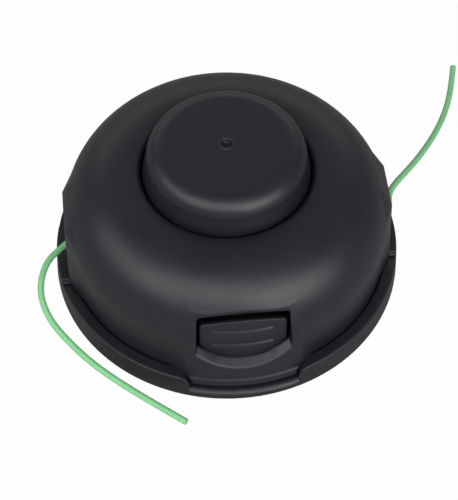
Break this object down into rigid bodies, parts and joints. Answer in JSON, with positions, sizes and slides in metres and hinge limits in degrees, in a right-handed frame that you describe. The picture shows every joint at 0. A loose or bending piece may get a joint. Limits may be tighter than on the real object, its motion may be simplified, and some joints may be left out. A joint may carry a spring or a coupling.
{
  "type": "bump-feed trimmer head",
  "caption": "Round bump-feed line trimmer head with a domed latched cover, a spring-loaded spool, a ball-bearing bump knob and two free line tails.",
  "frame": {"origin": "centre of the flat drive-side face that the head stands on, without its free line tails", "axes": "+Z along the spindle from the drive side to the bump knob, the line exits on -X and +X, the cover latches on -Y and +Y"},
  "size_m": [0.1781, 0.1601, 0.0662],
  "materials": {
    "black_nylon": "fine satin grain",
    "latch_nylon": "fine satin grain",
    "knob_nylon": "fine satin grain",
    "spool_nylon": "smooth moulded",
    "green_line": "drawn nylon line",
    "zinc_steel": "zinc plated",
    "spring_steel": "drawn wire",
    "bearing_steel": "ground and polished",
    "eyelet_metal": "turned"
  },
  "bodies": {
    "root": {"housing_base": "black_nylon", "drive_insert": "zinc_steel", "eyelet_left": "eyelet_metal", "eyelet_right": "eyelet_metal", "cover": "black_nylon", "line_lead_left": "green_line", "line_lead_right": "green_line", "line_tail_left": "green_line", "line_tail_right": "green_line", "feed_spring": "spring_steel"},
    "spring_seat": {"thrust_washer": "zinc_steel"},
    "spool_body": {"spool": "spool_nylon", "line_winding_lower": "green_line", "line_winding_upper": "green_line", "bearing_inner_ring": "bearing_steel", "lock_washer": "zinc_steel", "knob_screw": "zinc_steel"},
    "knob_body": {"bump_knob": "knob_nylon", "bearing_outer_ring": "bearing_steel", "bearing_shields": "bearing_steel"},
    "ball_body": {"bearing_balls": "bearing_steel", "bearing_cage": "bearing_steel"},
    "latch_front_body": {"latch_front": "latch_nylon"},
    "latch_rear_body": {"latch_rear": "latch_nylon"}
  },
  "joints": [
    {"name": "bump_press", "type": "slide", "parent": "root", "child": "spring_seat", "axis": [0, 0, -1], "range_m": [0, 0.005], "stiffness_N_per_m": 2000, "springref_m": -0.01, "deforming": ["feed_spring"]},
    {"name": "spool_turn", "type": "hinge", "parent": "spring_seat", "child": "spool_body", "pos_m": [0, 0, 0.03], "axis": [0, 0, 1], "continuous": true},
    {"name": "knob_turn", "type": "hinge", "parent": "spool_body", "child": "knob_body", "pos_m": [0, 0, 0.053], "axis": [0, 0, 1], "continuous": true},
    {"name": "ball_turn", "type": "hinge", "parent": "spool_body", "child": "ball_body", "pos_m": [0, 0, 0.053], "axis": [0, 0, 1], "continuous": true},
    {"name": "latch_front_press", "type": "hinge", "parent": "root", "child": "latch_front_body", "pos_m": [0, -0.0538, 0.0076], "axis": [-1, 0, 0], "range_deg": [0, 10], "stiffness_Nm_per_rad": 2, "springref_deg": -2.86},
    {"name": "latch_rear_press", "type": "hinge", "parent": "root", "child": "latch_rear_body", "pos_m": [0, 0.0538, 0.0076], "axis": [1, 0, 0], "range_deg": [0, 10], "stiffness_Nm_per_rad": 2, "springref_deg": -2.86}
  ],
  "couplings": [
    {"joint": "ball_turn", "follows": "knob_turn", "ratio": 0.6294}
  ]
}
